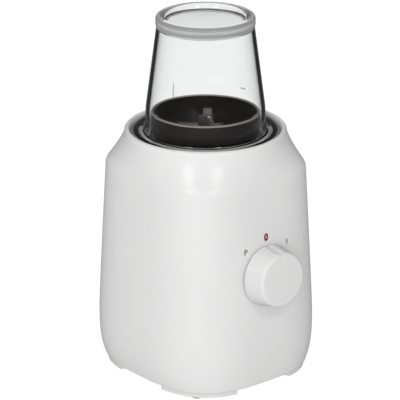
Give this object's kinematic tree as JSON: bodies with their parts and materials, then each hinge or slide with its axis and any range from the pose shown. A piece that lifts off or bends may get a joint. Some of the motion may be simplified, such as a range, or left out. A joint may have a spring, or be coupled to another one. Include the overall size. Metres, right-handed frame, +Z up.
{
  "type": "countertop blender",
  "caption": "Countertop blender base with a rotary control knob, carrying an inverted clear dry-grinding mill on a dark cutter base.",
  "frame": {"origin": "the point on the worktop straight below the motor's axis, midway between the four feet", "axes": "+Z up along the motor's axis, -Y the way the control knob faces, +X to the right as seen from the knob"},
  "size_m": [0.153, 0.1774, 0.295],
  "materials": {
    "body_white": "satin-gloss moulded plastic",
    "plate_white": "moulded plastic",
    "seat_grey": "fine satin moulded plastic",
    "cutter_black": "polished moulded plastic",
    "clear_jar": "clear moulded plastic",
    "seal_rubber": "silicone rubber",
    "dark_rubber": "rubber",
    "stainless": "stamped stainless steel",
    "steel": "plated steel",
    "core_steel": "laminated, varnished steel",
    "winding_copper": "enamelled copper wire",
    "brass_metal": "brass",
    "carbon": "pressed carbon",
    "bracket_alloy": "die-cast alloy",
    "black_plastic": "moulded plastic",
    "ivory_plastic": "moulded plastic"
  },
  "bodies": {
    "base": {"housing": "body_white", "jar_seat": "seat_grey", "seat_screws": "steel", "base_plate": "plate_white", "rubber_feet": "dark_rubber", "base_screws": "steel", "cord_inlet": "dark_rubber", "switch_body": "black_plastic", "switch_nut": "steel", "interlock_spring": "steel", "interlock_switch": "black_plastic", "shaft_seal": "dark_rubber", "stator_core": "core_steel", "field_coils": "winding_copper", "stator_screws": "steel", "upper_bracket": "bracket_alloy", "lower_bracket": "bracket_alloy", "upper_bearing": "steel", "lower_bearing": "brass_metal", "brush_holders": "brass_metal", "carbon_brushes": "carbon", "brush_springs": "steel", "motor_dampers": "dark_rubber", "motor_screws": "steel", "thermal_cutout": "ivory_plastic", "suppressor_capacitor": "ivory_plastic", "terminal_block": "ivory_plastic"},
    "rotor": {"motor_shaft": "steel", "armature_core": "core_steel", "armature_winding": "winding_copper", "commutator": "winding_copper", "cooling_fan": "ivory_plastic", "drive_coupling": "black_plastic"},
    "control": {"knob": "body_white", "switch_shaft": "steel"},
    "pin": {"interlock_pin": "plate_white"},
    "mill": {"cutter_base": "cutter_black", "cutter_bush": "brass_metal", "cutter_seal": "seal_rubber", "jar_gasket": "seal_rubber"},
    "jar": {"grinding_jar": "clear_jar"},
    "cutter": {"cutter_shaft": "stainless", "lower_blade": "stainless", "upper_blade": "stainless", "blade_washer": "stainless", "blade_nut": "stainless", "driven_coupling": "black_plastic", "retaining_clip": "stainless"}
  },
  "joints": [
    {"name": "rotor_spin", "type": "hinge", "parent": "base", "child": "rotor", "pos_m": [0, 0, 0.1], "axis": [0, 0, 1], "continuous": true},
    {"name": "knob_turn", "type": "hinge", "parent": "base", "child": "control", "pos_m": [0, -0.07605, 0.098], "axis": [0, -0.9986, 0.0536], "range_deg": [-45, 45]},
    {"name": "pin_press", "type": "slide", "parent": "base", "child": "pin", "axis": [0, 0, -1], "range_m": [0, 0.003], "stiffness_N_per_m": 300, "springref_m": -0.003, "deforming": ["interlock_spring"]},
    {"name": "mill_lift", "type": "slide", "parent": "base", "child": "mill", "axis": [0, 0, 1], "range_m": [0, 0.06]},
    {"name": "jar_lift", "type": "slide", "parent": "mill", "child": "jar", "axis": [0, 0, 1], "range_m": [0, 0.06]},
    {"name": "cutter_spin", "type": "hinge", "parent": "mill", "child": "cutter", "pos_m": [0, 0, 0.19], "axis": [0, 0, 1], "continuous": true}
  ],
  "couplings": [
    {"joint": "cutter_spin", "follows": "rotor_spin", "ratio": 1}
  ]
}
